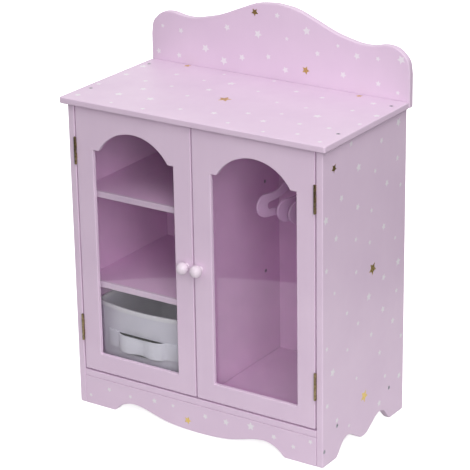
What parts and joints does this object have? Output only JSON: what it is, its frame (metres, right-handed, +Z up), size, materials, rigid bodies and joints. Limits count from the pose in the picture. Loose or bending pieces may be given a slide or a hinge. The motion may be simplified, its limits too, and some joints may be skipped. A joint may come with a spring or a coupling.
{
  "type": "miniature wardrobe",
  "caption": "Miniature wardrobe for dolls, with arched glazed doors, shelves, a hanging rail with hangers, a frosted storage bin and a shaped crest board.",
  "frame": {"origin": "floor level, at the middle of the object's width and depth", "axes": "+X to the right seen from the front, +Y towards the back, +Z up"},
  "size_m": [0.42, 0.2394, 0.5625],
  "materials": {
    "painted_board": "satin lilac paint with printed stars on the outer boards",
    "painted_knob": "gloss pale pink paint",
    "clear_pane": "clear acrylic sheet",
    "steel": "dull zinc",
    "magnet_housing": "moulded plastic over a magnet",
    "brass": "antique brass plating",
    "white_plastic": "moulded white plastic",
    "frosted_plastic": "frosted translucent polypropylene",
    "hanger_plastic": "translucent moulded plastic"
  },
  "bodies": {
    "cabinet": {"side_panel_left": "painted_board", "side_panel_right": "painted_board", "top_panel": "painted_board", "crest_board": "painted_board", "back_panel": "painted_board", "bottom_panel": "painted_board", "front_apron": "painted_board", "centre_divider": "painted_board", "upper_shelf": "painted_board", "lower_shelf": "painted_board", "hanging_rod": "painted_board", "top_screw_left_front": "steel", "top_screw_left_back": "steel", "top_screw_right_front": "steel", "top_screw_right_back": "steel", "side_screw_left_apron": "steel", "side_screw_left_floor_front": "steel", "side_screw_left_floor_back": "steel", "side_screw_right_apron": "steel", "side_screw_right_floor_front": "steel", "side_screw_right_floor_back": "steel", "shelf_screw_lower_front": "steel", "shelf_screw_lower_back": "steel", "shelf_screw_upper_front": "steel", "shelf_screw_upper_back": "steel", "crest_screw_left": "steel", "crest_screw_right": "steel", "magnet_catch_left": "magnet_housing", "magnet_catch_right": "magnet_housing", "cabinet_leaf_left_lower": "brass", "cabinet_leaf_left_upper": "brass", "cabinet_leaf_right_lower": "brass", "cabinet_leaf_right_upper": "brass", "hinge_pin_left_lower": "brass", "hinge_pin_left_upper": "brass", "hinge_pin_right_lower": "brass", "hinge_pin_right_upper": "brass", "rod_socket_left": "white_plastic", "rod_socket_right": "white_plastic"},
    "left_door": {"door_frame_left": "painted_board", "window_pane_left": "clear_pane", "pane_bead_left": "painted_board", "knob_left": "painted_knob", "knob_screw_left": "steel", "strike_plate_left": "steel", "door_leaf_left_lower": "brass", "door_leaf_left_upper": "brass"},
    "right_door": {"door_frame_right": "painted_board", "window_pane_right": "clear_pane", "pane_bead_right": "painted_board", "knob_right": "painted_knob", "knob_screw_right": "steel", "strike_plate_right": "steel", "door_leaf_right_lower": "brass", "door_leaf_right_upper": "brass"},
    "first_hanger": {"hanger_1": "hanger_plastic"},
    "second_hanger": {"hanger_2": "hanger_plastic"},
    "third_hanger": {"hanger_3": "hanger_plastic"},
    "bin": {"storage_bin": "frosted_plastic", "bin_handle": "white_plastic"}
  },
  "joints": [
    {"name": "left_door_hinge", "type": "hinge", "parent": "cabinet", "child": "left_door", "pos_m": [-0.191, -0.1019, 0.25], "axis": [0, 0, -1], "range_deg": [0, 170]},
    {"name": "right_door_hinge", "type": "hinge", "parent": "cabinet", "child": "right_door", "pos_m": [0.191, -0.1019, 0.25], "axis": [0, 0, 1], "range_deg": [0, 170]},
    {"name": "first_hanger_swing", "type": "hinge", "parent": "cabinet", "child": "first_hanger", "pos_m": [0.0924, 0.0088, 0.4], "axis": [1, 0, 0], "range_deg": [-10, 10]},
    {"name": "second_hanger_swing", "type": "hinge", "parent": "cabinet", "child": "second_hanger", "pos_m": [0.1244, 0.0088, 0.4], "axis": [1, 0, 0], "range_deg": [-10, 10]},
    {"name": "third_hanger_swing", "type": "hinge", "parent": "cabinet", "child": "third_hanger", "pos_m": [0.1423, 0.0088, 0.4], "axis": [1, 0, 0], "range_deg": [-10, 10]},
    {"name": "bin_slide", "type": "slide", "parent": "cabinet", "child": "bin", "axis": [0, -1, 0], "range_m": [-0.012, 0]}
  ]
}
